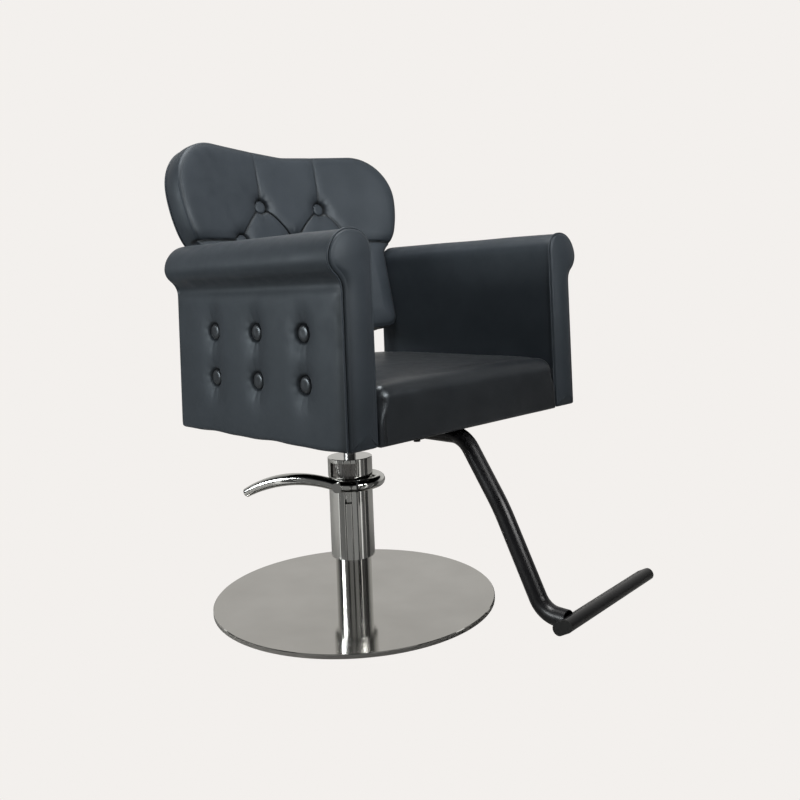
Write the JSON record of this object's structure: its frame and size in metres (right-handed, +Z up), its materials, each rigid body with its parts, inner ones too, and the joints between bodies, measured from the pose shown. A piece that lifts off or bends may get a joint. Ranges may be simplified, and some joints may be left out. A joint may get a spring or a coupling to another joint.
{
  "type": "hydraulic styling chair",
  "caption": "Upholstered salon chair with rolled, buttoned arms and a tufted hollow back, on a hydraulic column with foot pedal, disc base and bent footrest.",
  "frame": {"origin": "on the floor, at the centre of the base disc, on the pump column's axis", "axes": "+Z up, the sitter faces -Y, the sitter's right arm is at -X"},
  "size_m": [0.686, 0.867, 0.976],
  "materials": {
    "vinyl": "soft black vinyl with a low sheen",
    "stainless": "polished stainless sheet",
    "chrome": "bright chrome plate",
    "black_steel": "satin black powder coat",
    "black_plastic": "black moulded plastic",
    "steel": "plain machined steel",
    "zinc": "zinc plated",
    "casting": "ground casting",
    "bronze": "sintered bronze",
    "rubber": "black rubber",
    "nylon": "black nylon",
    "wood": "raw hardwood",
    "plywood": "raw plywood",
    "cloth": "black non-woven cloth"
  },
  "bodies": {
    "base": {"floor_ring": "rubber", "base_plate": "steel", "base_cover": "stainless", "column_foot": "steel", "column_bolts": "zinc", "column_tube": "chrome", "column_guide": "nylon", "ram_rod": "steel", "ram_piston": "bronze", "piston_seal": "rubber", "ram_nut": "zinc"},
    "pump": {"pressure_cylinder": "steel", "cylinder_gland": "bronze", "sleeve_guide": "nylon", "pump_sleeve": "chrome", "sleeve_screw": "zinc", "pump_head": "casting", "shaft_bushes": "bronze", "return_spring": "steel", "spindle_bush": "bronze", "thrust_washer": "bronze", "pump_cap": "chrome"},
    "pedal": {"pedal_lever": "chrome", "pedal_shaft": "steel", "pedal_collar": "rubber"},
    "plunger": {"plunger": "steel"},
    "chair": {"swivel_spindle": "steel", "mount_plate": "black_steel", "mount_bolts": "zinc", "seat_frame": "wood", "seat_cross_rails": "wood", "seat_board": "plywood", "seat_bottom_cloth": "cloth", "seat_cushion": "vinyl", "arm_frame_left": "plywood", "arm_frame_right": "plywood", "arm_pad_left": "vinyl", "arm_pad_right": "vinyl", "arm_front_panel_left": "vinyl", "arm_front_panel_right": "vinyl", "arm_buttons_left": "vinyl", "arm_buttons_right": "vinyl", "arm_bolts": "zinc", "arm_tee_nuts": "zinc", "back_board": "plywood", "back_rear_cover": "vinyl", "back_cushion": "vinyl", "back_buttons": "vinyl", "back_bracket_left": "black_steel", "back_bracket_right": "black_steel", "bracket_foot_bolts": "zinc", "bracket_back_bolts": "zinc", "footrest_bar": "black_steel", "footrest_end_caps": "black_plastic", "footrest_stem": "black_steel", "stem_plug": "black_plastic", "footrest_clamps": "black_steel", "clamp_bolts": "black_steel"}
  },
  "joints": [
    {"name": "lift", "type": "slide", "parent": "base", "child": "pump", "axis": [0, 0, 1], "range_m": [0, 0.12]},
    {"name": "pedal_press", "type": "hinge", "parent": "pump", "child": "pedal", "pos_m": [0, 0, 0.25], "axis": [0.8988, 0.4384, 0], "range_deg": [-15, 0], "stiffness_Nm_per_rad": 6, "springref_deg": 20.05},
    {"name": "plunger_stroke", "type": "slide", "parent": "pump", "child": "plunger", "axis": [0, 0, 1], "range_m": [-0.0067, 0]},
    {"name": "swivel", "type": "hinge", "parent": "pump", "child": "chair", "pos_m": [0, 0, 0.3], "axis": [0, 0, 1], "continuous": true}
  ],
  "couplings": [
    {"joint": "plunger_stroke", "follows": "pedal_press", "m_per_rad": 0.0249}
  ]
}
